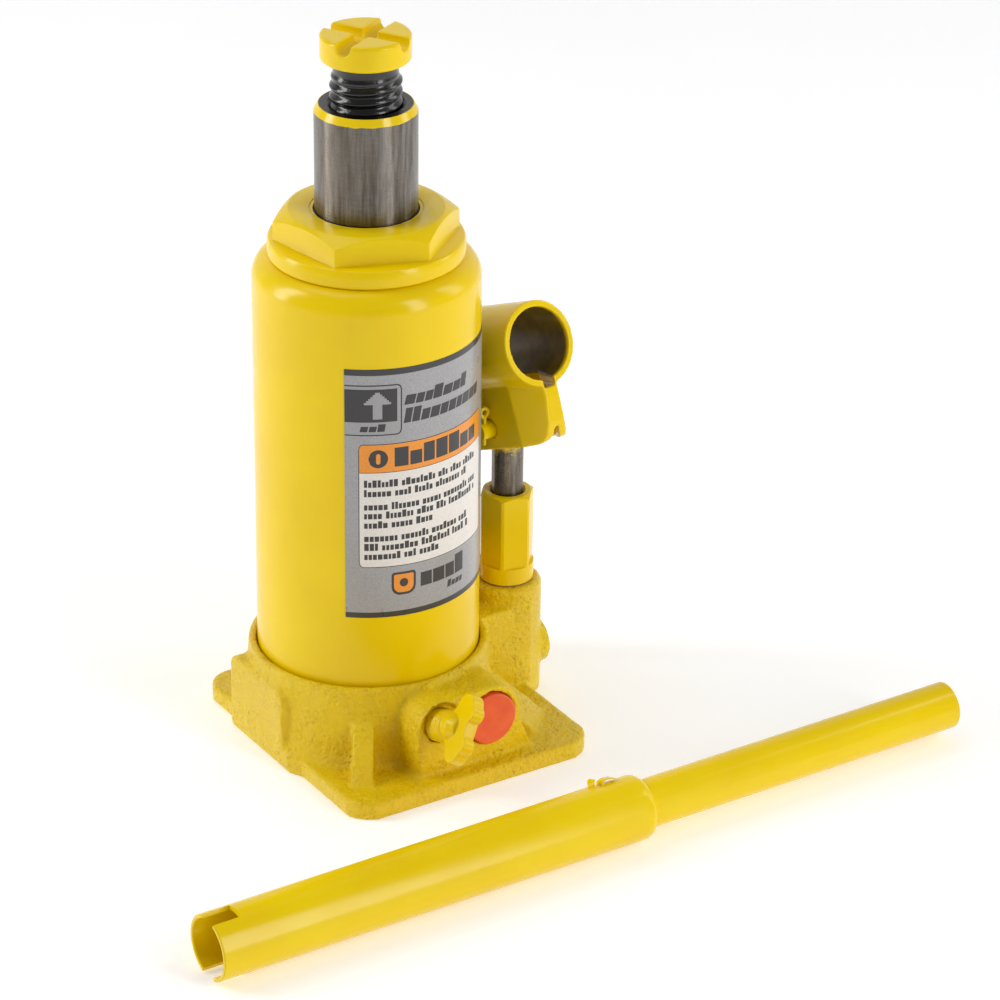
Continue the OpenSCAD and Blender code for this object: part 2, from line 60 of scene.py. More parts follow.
# The camera that the photograph was taken with, as far as it can be fitted.
CAMERA_LENS = 151.2
CAMERA_PLACE = Vector((-0.7161, -1.2069, 0.7969))
CAMERA_AHEAD = Vector((0.4831, 0.7525, -0.4476))
CAMERA_ROLL = math.radians(0.65)

# The label's outer face on the tank, and where its left edge stands round the tank.
LABEL_R = 42.15 * MM
LABEL_LEFT = math.radians(228.0)


# Node trees ---------------------------------------------------------------


class Shader:
    """One material's node tree, with short calls for the nodes that it is built from."""

    def __init__(self, name):
        self.material = bpy.data.materials.new(name)
        self.material.use_nodes = True
        self.tree = self.material.node_tree
        self.bsdf = self.tree.nodes["Principled BSDF"]
        self.place = self.node("ShaderNodeTexCoord").outputs["Object"]
        split = self.node("ShaderNodeSeparateXYZ", {"Vector": self.place})
        self.x, self.y, self.z = split.outputs

    def node(self, kind, inputs=None, **settings):
        made = self.tree.nodes.new(kind)
        for key, value in settings.items():
            setattr(made, key, value)
        for key, value in (inputs or {}).items():
            self.feed(made.inputs[key], value)
        return made

    def feed(self, socket, value):
        if isinstance(value, bpy.types.NodeSocket):
            self.tree.links.new(value, socket)
        else:
            socket.default_value = value

    def math(self, operation, a, b=0.0):
        return self.node("ShaderNodeMath", {0: a, 1: b}, operation=operation).outputs[0]

    def noise(self, size, detail=3.0, rough=0.55, place=None):
        """Noise whose features are about size metres across."""
        inputs = {
            "Vector": place or self.place,
            "Scale": 1.0 / size,
            "Detail": detail,
            "Roughness": rough,
        }
        return self.node("ShaderNodeTexNoise", inputs).outputs["Fac"]

    def cells(self, size):
        inputs = {"Vector": self.place, "Scale": 1.0 / size}
        return self.node("ShaderNodeTexVoronoi", inputs).outputs["Distance"]

    def stretched(self, sx, sy, sz):
        """Object coordinates scaled along each axis, for scratches and streaks."""
        inputs = {"Vector": self.place, "Scale": (sx, sy, sz)}
        return self.node("ShaderNodeMapping", inputs).outputs["Vector"]

    def remap(self, value, low, high, to_low=0.0, to_high=1.0):
        inputs = {
            "Value": value,
            "From Min": low,
            "From Max": high,
            "To Min": to_low,
            "To Max": to_high,
        }
        return self.node("ShaderNodeMapRange", inputs).outputs["Result"]

    def blend(self, factor, a, b):
        """Mixes two colours."""
        made = self.node("ShaderNodeMix", data_type="RGBA")
        for index, value in ((0, factor), (6, a), (7, b)):
            self.feed(made.inputs[index], value)
        return made.outputs[2]

    def mix(self, factor, a, b):
        """Mixes two values."""
        made = self.node("ShaderNodeMix", data_type="FLOAT")
        for index, value in ((0, factor), (2, a), (3, b)):
            self.feed(made.inputs[index], value)
        return made.outputs[0]

    def wander(self, size, reach):
        """A length that strays either side of zero, by less than half of reach."""
        return self.math("MULTIPLY", self.math("SUBTRACT", self.noise(size, 3.0), 0.5), reach)

    def vector_math(self, operation, a, b=(0.0, 0.0, 0.0), output=0):
        inputs = {0: a, 1: b}
        return self.node("ShaderNodeVectorMath", inputs, operation=operation).outputs[output]

    def radius(self):
        """Distance from the ram's axis."""
        flat = self.node("ShaderNodeCombineXYZ", {"X": self.x, "Y": self.y}).outputs[0]
        return self.vector_math("LENGTH", flat, output="Value")

    def bump(self, height, depth, strength=1.0):
        """Bump whose height, from 0 to 1, stands for depth metres."""
        inputs = {"Height": height, "Distance": depth, "Strength": strength}
        return self.node("ShaderNodeBump", inputs).outputs["Normal"]

    def set(self, **values):
        for key, value in values.items():
            self.feed(self.bsdf.inputs[key.replace("_", " ")], value)
        return self.material


def colour(red, green, blue):
    """A colour from display values of 0 to 255, as linear light."""

    def linear(value):
        value /= 255.0
        return value / 12.92 if value <= 0.04045 else ((value + 0.055) / 1.055) ** 2.4

    return (linear(red), linear(green), linear(blue), 1.0)


YELLOW = colour(240, 207, 0)
YELLOW_DEEP = colour(234, 198, 0)
YELLOW_LIGHT = colour(246, 220, 24)
GRIME = colour(96, 74, 20)
STEEL = colour(150, 146, 141)
STEEL_DARK = colour(96, 90, 83)
OIL_BLACK = colour(7, 6, 6)


# Materials ----------------------------------------------------------------


def enamel(s):
    """Colour, roughness and height of smooth sprayed enamel, with thin and thick areas."""
    cloud = s.noise(0.045, 3.0)
    tint = s.blend(s.remap(cloud, 0.35, 0.68), YELLOW_DEEP, YELLOW)
    fleck = s.remap(s.noise(0.0011, 2.0), 0.70, 0.80)
    tint = s.blend(s.math("MULTIPLY", fleck, 0.22), tint, YELLOW_LIGHT)
    dirt = s.remap(s.noise(0.0016, 4.0, 0.7), 0.72, 0.80)
    patches = s.remap(s.noise(0.03, 2.0), 0.52, 0.66)
    tint = s.blend(s.math("MULTIPLY", s.math("MULTIPLY", dirt, patches), 0.35), tint, GRIME)
    rough = s.remap(s.noise(0.012, 4.0), 0.3, 0.7, 0.17, 0.27)
    peel = s.math("ADD", s.noise(0.0022, 2.0), s.math("MULTIPLY", s.noise(0.0007, 2.0), 0.35))
    return tint, rough, peel


def smooth_paint():
    s = Shader("smooth_enamel")
    tint, rough, peel = enamel(s)
    return s.set(
        Base_Color=tint,
        Roughness=rough,
        Specular_IOR_Level=0.25,
        Coat_Weight=0.1,
        Coat_Roughness=0.09,
        Normal=s.bump(peel, 0.00006, 0.5),
    )


def socket_paint():
    """Enamel outside, and inside the bore a duller finish coloured a mottled dark olive as painted
    shade.
    """
    s = Shader("socket_enamel")
    tint, rough, peel = enamel(s)
    mount = MOUNTS["handle_socket_bore"]
    axis = Vector(mount["axis"]).normalized()
    mouth = Vector(mount["pos_m"])
    away = s.vector_math("SUBTRACT", s.place, tuple(mouth))
    across = s.vector_math("CROSS_PRODUCT", away, tuple(axis))
    radius = s.vector_math("LENGTH", across, output="Value")
    depth = s.vector_math("DOT_PRODUCT", away, tuple(-axis), output="Value")
    # Painted shade: the bore is darkened to dark olive by its distance from the axis and its depth
    # below the mouth.
    inside = s.remap(radius, 14.5 * MM, 14.1 * MM)
    deep = s.remap(s.math("ADD", depth, s.wander(0.003, 1.2 * MM)), 0.8 * MM, 2.2 * MM)
    inside = s.math("MULTIPLY", inside, deep)
    patches = s.remap(s.noise(0.007, 3.0), 0.35, 0.7)
    bore_shade = s.blend(patches, colour(92, 74, 6), colour(126, 104, 16))
    return s.set(
        Base_Color=s.blend(inside, tint, bore_shade),
        Roughness=s.mix(inside, rough, 0.42),
        Specular_IOR_Level=0.25,
        Coat_Weight=0.1,
        Coat_Roughness=0.09,
        Normal=s.bump(peel, 0.00006, 0.5),
    )


def cast_paint():
    """The same enamel laid thick over a sand casting: pitted, lumpy, and with painted shade in the
    low places of its grain.
    """
    s = Shader("cast_enamel")
    tint, rough, _ = enamel(s)
    grain = s.noise(0.0016, 5.0, 0.6)
    lumps = s.noise(0.006, 2.0, 0.5)
    pits = s.remap(s.cells(0.0019), 0.05, 0.42)
    pit_here = s.remap(s.noise(0.012, 2.0), 0.42, 0.62)
    height = s.math("ADD", s.math("MULTIPLY", grain, 0.85), s.math("MULTIPLY", lumps, 0.3))
    height = s.math("ADD", height, s.math("MULTIPLY", s.math("MULTIPLY", pits, pit_here), 0.35))
    # Painted shade: a deeper yellow where the fine grain of the bump is low.
    hollow_shade = s.remap(grain, 0.34, 0.46, 0.5, 0.0)
    tint = s.blend(s.math("MULTIPLY", hollow_shade, pit_here), tint, colour(190, 150, 4))
    soot = s.math("MULTIPLY", s.remap(s.noise(0.0009, 3.0, 0.7), 0.68, 0.76), pit_here)
    tint = s.blend(s.math("MULTIPLY", soot, 0.4), tint, GRIME)
    return s.set(
        Base_Color=tint,
        Roughness=s.math("ADD", rough, 0.05),
        Specular_IOR_Level=0.34,
        Coat_Weight=0.1,
        Coat_Roughness=0.16,
        Normal=s.bump(height, 0.0013, 1.0),
    )


def brushed(s, tone, dark, streak, stain):
    """Colour, roughness and height of ground steel with scratches along and round Z."""
    along = s.noise(streak, 4.0, 0.6, s.stretched(1.0, 1.0, 0.08))
    around = s.noise(0.0009, 3.0, 0.6, s.stretched(0.15, 0.15, 1.6))
    scratch = s.remap(s.noise(0.0011, 3.0, 0.6), 0.66, 0.74)
    film = s.remap(s.noise(stain, 4.0, 0.6), 0.42, 0.68)
    tint = s.blend(s.math("MULTIPLY", s.remap(along, 0.35, 0.65), 0.6), dark, tone)
    tint = s.blend(s.math("MULTIPLY", film, 0.35), tint, colour(120, 104, 84))
    rough = s.math("ADD", s.remap(around, 0.3, 0.7, 0.25, 0.33), s.math("MULTIPLY", scratch, 0.12))
    height = s.math("ADD", s.math("MULTIPLY", along, 0.25), s.math("MULTIPLY", around, 0.6))
    height = s.math("SUBTRACT", height, s.math("MULTIPLY", scratch, 0.5))
    return tint, rough, height


def painted_where(s, mask, steel):
    """Mixes enamel over bare steel by a mask of 0 to 1."""
    tint, rough, peel = enamel(s)
    steel_tint, steel_rough, steel_height = steel
    round_z = s.node("ShaderNodeTangent", direction_type="RADIAL", axis="Z").outputs[0]
    return s.set(
        Anisotropic=0.85,
        Anisotropic_Rotation=0.25,
        Tangent=round_z,
        Base_Color=s.blend(mask, steel_tint, tint),
        Roughness=s.mix(mask, steel_rough, rough),
        Metallic=s.math("SUBTRACT", 1.0, mask),
        Normal=s.bump(s.mix(mask, steel_height, peel), 0.00003, 0.6),
    )


def ram_steel():
    """Ground steel, with paint left on the chamfer and a dark oiled top face."""
    s = Shader("ram_steel")
    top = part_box("ram")[1].z
    radius = s.radius()
    wobble = s.wander(0.004, 0.9 * MM)
    high = s.remap(s.math("ADD", s.z, wobble), top - 2.75 * MM, top - 2.6 * MM)
    edge = s.math("ADD", radius, s.math("MULTIPLY", wobble, 0.4))
    outside = s.remap(edge, 16.95 * MM, 17.15 * MM)
    tint, rough, height = brushed(s, STEEL, STEEL_DARK, 0.0016, 0.03)
    on_top = s.remap(s.z, top - 1.9 * MM, top - 1.7 * MM)
    oily = s.math("MULTIPLY", on_top, s.remap(radius, 17.2 * MM, 17.0 * MM))
    tint = s.blend(oily, tint, colour(64, 60, 56))
    return painted_where(s, s.math("MULTIPLY", high, outside), (tint, rough, height))


def plunger_steel():
    """Ground steel with overspray towards its top."""
    s = Shader("plunger_steel")
    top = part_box("plunger")[1].z
    drift = s.wander(0.003, 12 * MM)
    spray = s.remap(s.math("ADD", s.z, drift), top - 18 * MM, top - 14 * MM)
    near_top = s.remap(s.z, top - 30 * MM, top - 16 * MM)
    dots = s.math("MULTIPLY", s.remap(s.noise(0.0012, 2.0), 0.66, 0.70), near_top)
    steel = brushed(s, STEEL, STEEL_DARK, 0.0012, 0.016)
    return painted_where(s, s.math("MAXIMUM", spray, dots), steel)


def bare_steel():
    s = Shader("bare_steel")
    tint, rough, height = brushed(s, STEEL, STEEL_DARK, 0.001, 0.02)
    normal = s.bump(height, 0.00002, 0.5)
    return s.set(Base_Color=tint, Roughness=rough, Metallic=1.0, Normal=normal)


def oily_black():
    """Blackened steel, wet with oil and thick lubricant in the thread."""
    s = Shader("oily_black")
    film = s.noise(0.004, 4.0, 0.6)
    tint = s.blend(s.remap(film, 0.45, 0.7), OIL_BLACK, colour(20, 17, 14))
    rust = s.math("MULTIPLY", s.remap(s.noise(0.0015, 3.0), 0.70, 0.78), 0.3)
    tint = s.blend(rust, tint, colour(96, 60, 34))
    height = s.math("ADD", s.noise(0.0016, 4.0, 0.6), s.math("MULTIPLY", film, 0.8))
    return s.set(
        Base_Color=tint,
        Roughness=s.remap(film, 0.3, 0.7, 0.12, 0.3),
        Coat_Weight=0.3,
        Coat_Roughness=0.06,
        Normal=s.bump(height, 0.00022, 0.6),
    )


def film(name, tone, rough=0.34):
    """Printed film on the tank: flat ink, a faint grain, and scuffs in its clear layer."""
    s = Shader(name)
    dark = tuple(0.90 * value for value in tone[:3]) + (1.0,)
    tint = s.blend(s.remap(s.noise(0.0007, 2.0), 0.35, 0.65), dark, tone)
    scuff = s.remap(s.noise(0.0012, 3.0, 0.6, s.stretched(1.0, 1.0, 0.2)), 0.66, 0.76)
    rough = s.remap(s.noise(0.006, 3.0), 0.3, 0.7, rough - 0.05, rough + 0.05)
    return s.set(
        Base_Color=tint,
        Roughness=s.math("ADD", rough, s.math("MULTIPLY", scuff, 0.1)),
        Coat_Weight=0.25,
        Coat_Roughness=0.2,
        Normal=s.bump(s.noise(0.0018, 3.0), 0.00004, 0.5),
    )


def label_film():
    """The label's grey field, with a dark band along its top and bottom edges."""
    s = Shader("label_grey")
    low, high = (corner.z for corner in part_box("label"))
    grain = s.remap(s.noise(0.0006, 2.0), 0.3, 0.7)
    grey = s.blend(grain, colour(146, 145, 147), colour(168, 167, 169))
    band = s.math(
        "MAXIMUM",
        s.math("LESS_THAN", s.z, low + 2.2 * MM),
        s.math("GREATER_THAN", s.z, high - 2.4 * MM),
    )
    return s.set(
        Base_Color=s.blend(band, grey, colour(50, 48, 50)),
        Roughness=s.remap(s.noise(0.008, 3.0), 0.3, 0.7, 0.27, 0.37),
        Metallic=0.12,
        Coat_Weight=0.3,
        Coat_Roughness=0.15,
        Normal=s.bump(s.noise(0.0016, 3.0), 0.00004, 0.5),
    )


def cap_plastic():
    s = Shader("cap_plastic")
    faded = s.remap(s.noise(0.006, 3.0), 0.35, 0.7)
    tint = s.blend(faded, colour(228, 82, 30), colour(240, 98, 40))
    dust = s.math("MULTIPLY", s.remap(s.noise(0.0008, 3.0), 0.68, 0.76), 0.4)
    return s.set(
        Base_Color=s.blend(dust, tint, YELLOW_LIGHT),
        Roughness=s.remap(s.noise(0.003, 3.0), 0.3, 0.7, 0.34, 0.44),
        Subsurface_Weight=0.05,
        Normal=s.bump(s.noise(0.0012, 3.0), 0.00005, 0.5),
    )


def rubber():
    s = Shader("rubber")
    tint = s.blend(s.noise(0.002, 3.0), colour(22, 22, 23), colour(44, 43, 42))
    return s.set(
        Base_Color=tint,
        Roughness=s.remap(s.noise(0.003), 0.3, 0.7, 0.55, 0.75),
        Normal=s.bump(s.noise(0.0008), 0.00008, 0.6),
    )


def wiper_rubber():
    """Rubber lip round the ram, with the nut's paint over its outer part."""
    s = Shader("wiper_rubber")
    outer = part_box("wiper_ring")[1].x
    edge = s.math("ADD", s.radius(), s.wander(0.003, 0.4 * MM))
    painted = s.remap(edge, outer - 1.35 * MM, outer - 1.2 * MM)
    tint, rough, peel = enamel(s)
    return s.set(
        Base_Color=s.blend(painted, colour(18, 17, 16), tint),
        Roughness=s.mix(painted, 0.6, rough),
        Specular_IOR_Level=0.25,
        Normal=s.bump(peel, 0.00006, 0.5),
    )


def fibre():
    s = Shader("fibre")
    tint = s.blend(s.noise(0.001, 4.0), colour(120, 84, 52), colour(168, 122, 80))
    return s.set(
        Base_Color=tint,
        Roughness=s.remap(s.noise(0.002), 0.3, 0.7, 0.6, 0.85),
        Normal=s.bump(s.noise(0.0005), 0.00006, 0.6),
    )


PAINT = smooth_paint()
CAST = cast_paint()
SOCKET = socket_paint()
OILY = oily_black()
BARE = bare_steel()
PAINTED_NODES = [
    "tank", "top_nut", "pump_barrel", "handle_grip", "plunger_pin", "fulcrum_pin", "link_pin",
    "link_left", "link_right", "check_plug",
]
STEEL_NODES = ["inner_cylinder", "release_ball", "overload_screw", "overload_ball", "suction_ball"]
RUBBER_NODES = [
    "tank_gasket", "filler_plug", "rod_seal", "piston_seal", "plunger_seal", "valve_seal",
]
FIBRE_NODES = ["cylinder_gasket", "screw_guide_ring", "barrel_gasket"]
CAD_MATERIALS = {
    **dict.fromkeys(PAINTED_NODES, PAINT),
    **dict.fromkeys(STEEL_NODES, BARE),
    **dict.fromkeys(RUBBER_NODES, rubber()),
    **dict.fromkeys(FIBRE_NODES, fibre()),
    "ram": ram_steel(),
    "plunger": plunger_steel(),
    "label": label_film(),
    "overload_cap": cap_plastic(),
    "wiper_ring": wiper_rubber(),
}


def dress_cad_nodes():
    for name, material in CAD_MATERIALS.items():
        node = frame["nodes"][name]
        node.data.materials.clear()
        node.data.materials.append(material)


# Mesh helpers -------------------------------------------------------------


def add_piece(name, mesh, body, material, replaces=None, smooth=True):
    """Puts a mesh in the scene as a piece of the object."""
    piece = bpy.data.objects.new(name, mesh)
    bpy.context.scene.collection.objects.link(piece)
    mesh.materials.clear()
    mesh.materials.append(material)
    mesh.polygons.foreach_set("use_smooth", [smooth] * len(mesh.polygons))
    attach(piece, body)
    if replaces:
        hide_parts(replaces)
    return piece


def mesh_from(name, verts, faces):
    mesh = bpy.data.meshes.new(name)
    mesh.from_pydata([tuple(v) for v in verts], [], faces)
    mesh.validate()
    return mesh


def welded_copy(node_name):
    """The CAD node's mesh with its faces joined and flat areas made whole."""
    bm = bmesh.new()
    bm.from_mesh(frame["nodes"][node_name].data)
    bmesh.ops.remove_doubles(bm, verts=bm.verts, dist=1e-6)
    bmesh.ops.dissolve_limit(bm, angle_limit=math.radians(0.5), verts=bm.verts, edges=bm.edges)
    mesh = bpy.data.meshes.new(node_name + "_copy")
    bm.to_mesh(mesh)
    bm.free()
    return mesh


def with_modifiers(mesh, *modifiers):
    """The mesh after a list of (kind, settings) modifiers."""
    maker = bpy.data.objects.new("maker", mesh)
    bpy.context.scene.collection.objects.link(maker)
    for kind, settings in modifiers:
        made = maker.modifiers.new(kind, kind)
        for key, value in settings.items():
            setattr(made, key, value)
    graph = bpy.context.evaluated_depsgraph_get()
    result = bpy.data.meshes.new_from_object(maker.evaluated_get(graph))
    bpy.data.objects.remove(maker)
    return result


def bevelled(node_name, width, angle=28, segments=2):
    """The CAD node's mesh with every sharp edge rounded, as thick paint leaves it."""
    bevel = {
        "width": width,
        "segments": segments,
        "limit_method": "ANGLE",
        "angle_limit": math.radians(angle),
        "harden_normals": False,
    }
    return with_modifiers(welded_copy(node_name), ("BEVEL", bevel))


def remeshed(mesh, voxel, rounds):
    """The mesh as one skin with blended corners: more rounds blend them wider."""
    remesh = {"mode": "VOXEL", "voxel_size": voxel, "use_smooth_shade": True}
    smooth = {"iterations": rounds, "factor": 0.5}
    return with_modifiers(mesh, ("REMESH", remesh), ("SMOOTH", smooth))


def surface(name, rows):
    """A closed skin through rows of points, each row a ring, with a cap at each end."""
    count = len(rows[0])
    verts = [point for row in rows for point in row]
    faces = []
    for i in range(len(rows) - 1):
        for j in range(count):
            k = (j + 1) % count
            below, above = i * count, (i + 1) * count
            faces.append((below + j, below + k, above + k, above + j))
    faces.append(tuple(reversed(range(count))))
    last = (len(rows) - 1) * count
    faces.append(tuple(last + j for j in range(count)))
    return mesh_from(name, verts, faces)


def threaded_rows(profile, root, crest, pitch, z0, z1, fade, sides=56, z_steps=12):
    """Rings up a threaded rod: profile maps a phase of 0 to 1 to the height of the ridge."""
    rows = []
    count = max(2, round((z1 - z0) / pitch * z_steps))
    for i in range(count + 1):
        z = z0 + (z1 - z0) * i / count
        grow = max(0.0, min(1.0, (z - z0) / fade, (z1 - z) / fade))
        row = []
        for j in range(sides):
            angle = 2 * math.pi * j / sides
            phase = (z / pitch - j / sides) % 1.0
            radius = root + (crest - root) * profile(phase) * grow
            row.append(Vector((radius * math.cos(angle), radius * math.sin(angle), z)))
        rows.append(row)
    return rows


def ring(radius, z, count=56):
    angles = (2 * math.pi * j / count for j in range(count))
    return [Vector((radius * math.cos(a), radius * math.sin(a), z)) for a in angles]


# Pieces -------------------------------------------------------------------


def cast_base():
    """The base casting: blended corners and the lumps of a sand mould under thick paint."""
    tank_r = (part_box("tank")[1].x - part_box("tank")[0].x) / 2
    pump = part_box("pump_barrel")
    pump_axis = (pump[0] + pump[1]) / 2
    tank_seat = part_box("tank_gasket")[0].z
    pump_hole_floor = 10 * MM
    flat_foot = 1.0 * MM
    mesh = remeshed(welded_copy("base"), 0.9 * MM, 3)
    mesh.update()
    normals = [v.normal.copy() for v in mesh.vertices]
    for vertex, normal in zip(mesh.vertices, normals):
        p = vertex.co
        in_collar = math.hypot(p.x, p.y) < tank_r + 1.1 * MM and p.z > tank_seat - 1 * MM
        off_pump = math.hypot(p.x - pump_axis.x, p.y - pump_axis.y)
        in_pump = off_pump < 10.4 * MM and p.z > pump_hole_floor
        if in_collar or in_pump or p.z < flat_foot:
            continue
        coarse = noise.noise(p / (9 * MM)) * 0.18
        fine = noise.noise(p / (2.0 * MM) + Vector((3, 1, 7))) * 0.10
        vertex.co = p + normal * (coarse + fine) * MM
    add_piece("base_casting", mesh, "jack_body", CAST, "base")


def nut_piece():
    mesh = bevelled("top_nut", 0.7 * MM)
    nut = add_piece("top_nut_body", mesh, "jack_body", PAINT, "top_nut")
    soften(nut.data, 35)


def socket_piece():
    """The folded sheet socket, with the soft bends of pressed sheet."""
    mesh = remeshed(welded_copy("handle_socket"), 0.5 * MM, 5)
    add_piece("handle_socket_body", mesh, "socket", SOCKET, "handle_socket")


def saddle_piece():
    mesh = remeshed(welded_copy("saddle"), 0.34 * MM, 3)
    add_piece("saddle_body", mesh, "screw", PAINT, "saddle")


def screw_piece():
    """The extension screw with its rounded helical thread."""
    low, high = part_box("extension_screw")
    saddle_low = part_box("saddle")[0].z
    crest = (high.x - low.x) / 2
    root = crest - 1.35 * MM
    pitch = 4 * MM

    def ridge(phase):
        return math.sin(math.pi * phase) ** 1.5

    thread_top = saddle_low - 4.6 * MM
    start = low.z + 7.1 * MM
    stop_flange = [
        ring(9.0 * MM, low.z),
        ring(11.2 * MM, low.z + 0.3 * MM),
        ring(11.5 * MM, low.z + 1.9 * MM),
        ring(9.0 * MM, low.z + 1.95 * MM),
        ring(9.0 * MM, start - 0.02 * MM),
        ring(root, start),
    ]
    thread = threaded_rows(ridge, root, crest, pitch, start + 0.3 * MM, thread_top, 3 * MM)
    neck_and_tenon = [
        ring(root, saddle_low - 3.6 * MM),
        ring(root + 0.15 * MM, saddle_low - 0.8 * MM),
        ring(root + 0.4 * MM, saddle_low - 0.05 * MM),
        ring(8.0 * MM, saddle_low),
        ring(8.0 * MM, high.z),
    ]
    name = "extension_screw_body"
    mesh = surface(name, stop_flange + thread + neck_and_tenon)
    add_piece(name, mesh, "screw", OILY, "extension_screw")


def valve_piece():
    """The release valve: a threaded spindle with a forged wing."""
    mesh = remeshed(welded_copy("release_valve"), 0.32 * MM, 3)
    add_piece("release_valve_body", mesh, "release_valve", PAINT, "release_valve")


def handle_axis():
    """The handle tube's mouth, its direction, and its sideways and upward directions."""
    mount = MOUNTS["handle_drive_end"]
    along = -Vector(mount["axis"]).normalized()
    side = Vector((-along.y, along.x, 0))
    return Vector(mount["pos_m"]), along, side, Vector((0, 0, 1))


def tube_piece():
    """The large handle tube, with two slots in its mouth and a rolled end."""
    mouth, along, side, up = handle_axis()
    outer = mouth.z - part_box("handle_tube")[0].z
    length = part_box("handle_tube")[1].x - mouth.x - 1 * MM
    wall = 1.6 * MM
    inner = outer - wall
    neck = 9.25 * MM
    roll_length = 3.2 * MM
    slot_depth = 11 * MM

    def profile(x):
        """Outer and inner radius at x along the tube."""
        roll = max(0.0, (x - (length - roll_length)) / roll_length)
        shoulder = min(1.0, max(0.0, (x - (length - 17 * MM)) / (3 * MM)))
        return outer - 1.7 * MM * roll**2.2, inner + (neck - inner) * shoulder

    stations = [0, 0.4, 1, 4, 8, 10.6, 11, 20, 60, 110, 150, 160, 163, 164.5, 166, 168]
    stations += [176, 178.6, 179.4, 180.2, 181, 181.6]
    stations = [s * MM for s in stations if s * MM < length] + [length]
    count = 72
    slot_half = math.asin(4 * MM / outer)
    bm = bmesh.new()
    rings = []
    for x in stations:
        out_r, in_r = profile(x)
        if x == 0:
            out_r, in_r = out_r - 0.35 * MM, in_r + 0.35 * MM
        pair = []
        for radius in (out_r, in_r):
            across = [
                side * (radius * math.cos(a)) + up * (radius * math.sin(a))
                for a in (2 * math.pi * k / count for k in range(count))
            ]
            pair.append([bm.verts.new(mouth + along * x + offset) for offset in across])
        rings.append(pair)

    def open_slot(i, k):
        a = 2 * math.pi * (k + 0.5) / count
        off = min(abs(a - math.pi / 2), abs(a - 3 * math.pi / 2))
        return stations[i + 1] <= slot_depth + 0.01 * MM and off < slot_half

    slot_end = next(i for i, x in enumerate(stations) if x > slot_depth - 0.1 * MM)

    for i in range(len(rings) - 1):
        for k in range(count):
            n = (k + 1) % count
            if open_slot(i, k):
                continue
            a, b = rings[i], rings[i + 1]
            bm.faces.new((a[0][k], a[0][n], b[0][n], b[0][k]))
            bm.faces.new((a[1][n], a[1][k], b[1][k], b[1][n]))
            for m, edge in (((k - 1) % count, k), (n, n)):
                if open_slot(i, m):
                    quad = (a[0][edge], b[0][edge], b[1][edge], a[1][edge])
                    bm.faces.new(quad if edge == n else tuple(reversed(quad)))
    for k in range(count):
        n = (k + 1) % count
        first, last = rings[0], rings[-1]
        if not open_slot(0, k):
            bm.faces.new((first[0][n], first[0][k], first[1][k], first[1][n]))
        else:
            at = rings[slot_end]
            bm.faces.new((at[0][n], at[0][k], at[1][k], at[1][n]))
        bm.faces.new((last[0][k], last[0][n], last[1][n], last[1][k]))
    bmesh.ops.remove_doubles(bm, verts=bm.verts, dist=1e-7)
    bmesh.ops.delete(bm, geom=[v for v in bm.verts if not v.link_faces], context="VERTS")
    bmesh.ops.recalc_face_normals(bm, faces=bm.faces)
    mesh = bpy.data.meshes.new("handle_tube_body")
    bm.to_mesh(mesh)
    bm.free()
    tube = add_piece("handle_tube_body", mesh, "handle_tube", PAINT, "handle_tube")
    soften(tube.data, 40)
    tube_tongues(outer, length)


def tube_tongues(outer, length):
    """A tab that stands up from the tube and, beyond a gap, a thin leaf that curls over it."""
    mouth, along, side, up = handle_axis()
    turn = math.radians(20)
    out = up * math.cos(turn) + side * math.sin(turn)
    across = side * math.cos(turn) - up * math.sin(turn)
    top = mouth + out * outer
    tab = [(-0.2, -0.6), (-0.1, 1.4), (0.25, 2.4), (1.1, 2.9), (1.3, 2.5), (0.7, 1.9), (0.6, -0.6)]
    tab_at = top + along * (length - 19.5 * MM)
    extrude_strip("tube_tab", tab_at, along, across, out, tab, 2.1 * MM)
    leaf_top = [(0, -0.5), (0, 0.75), (0.8, 1.3), (2.6, 1.75), (5.4, 1.5), (6.6, 0.9)]
    leaf_under = [(6.5, 0.55), (5.2, 1.1), (2.6, 1.3), (1.1, 0.8), (0.9, -0.5)]
    leaf_at = top + along * (length - 16 * MM)
    extrude_strip("tube_leaf", leaf_at, along, across, out, leaf_top + leaf_under, 1.9 * MM)


def extrude_strip(name, origin, along, side, up, outline, half):
    """A bent strip of sheet, half wide each way; its outline is in mm along and above the tube."""
    verts = [
        origin + along * (x * MM) + up * (z * MM) + side * (s * half)
        for s in (-1, 1)
        for x, z in outline
    ]
    n = len(outline)
    faces = [tuple(range(n)), tuple(reversed(range(n, 2 * n)))]
    faces += [(k, k + n, (k + 1) % n + n, (k + 1) % n) for k in range(n)]
    mesh = mesh_from(name, verts, faces)
    bevel = {"width": 0.18 * MM, "segments": 2, "limit_method": "ANGLE"}
    add_piece(name, with_modifiers(mesh, ("BEVEL", bevel)), "handle_tube", PAINT)


def soften(mesh, angle):
    """Smooth shading that keeps the edges sharper than angle degrees."""
    bm = bmesh.new()
    bm.from_mesh(mesh)
    limit = math.radians(angle)
    for edge in bm.edges:
        edge.smooth = len(edge.link_faces) == 2 and edge.calc_face_angle(math.pi) < limit
    for face in bm.faces:
        face.smooth = True
    bm.to_mesh(mesh)
    bm.free()


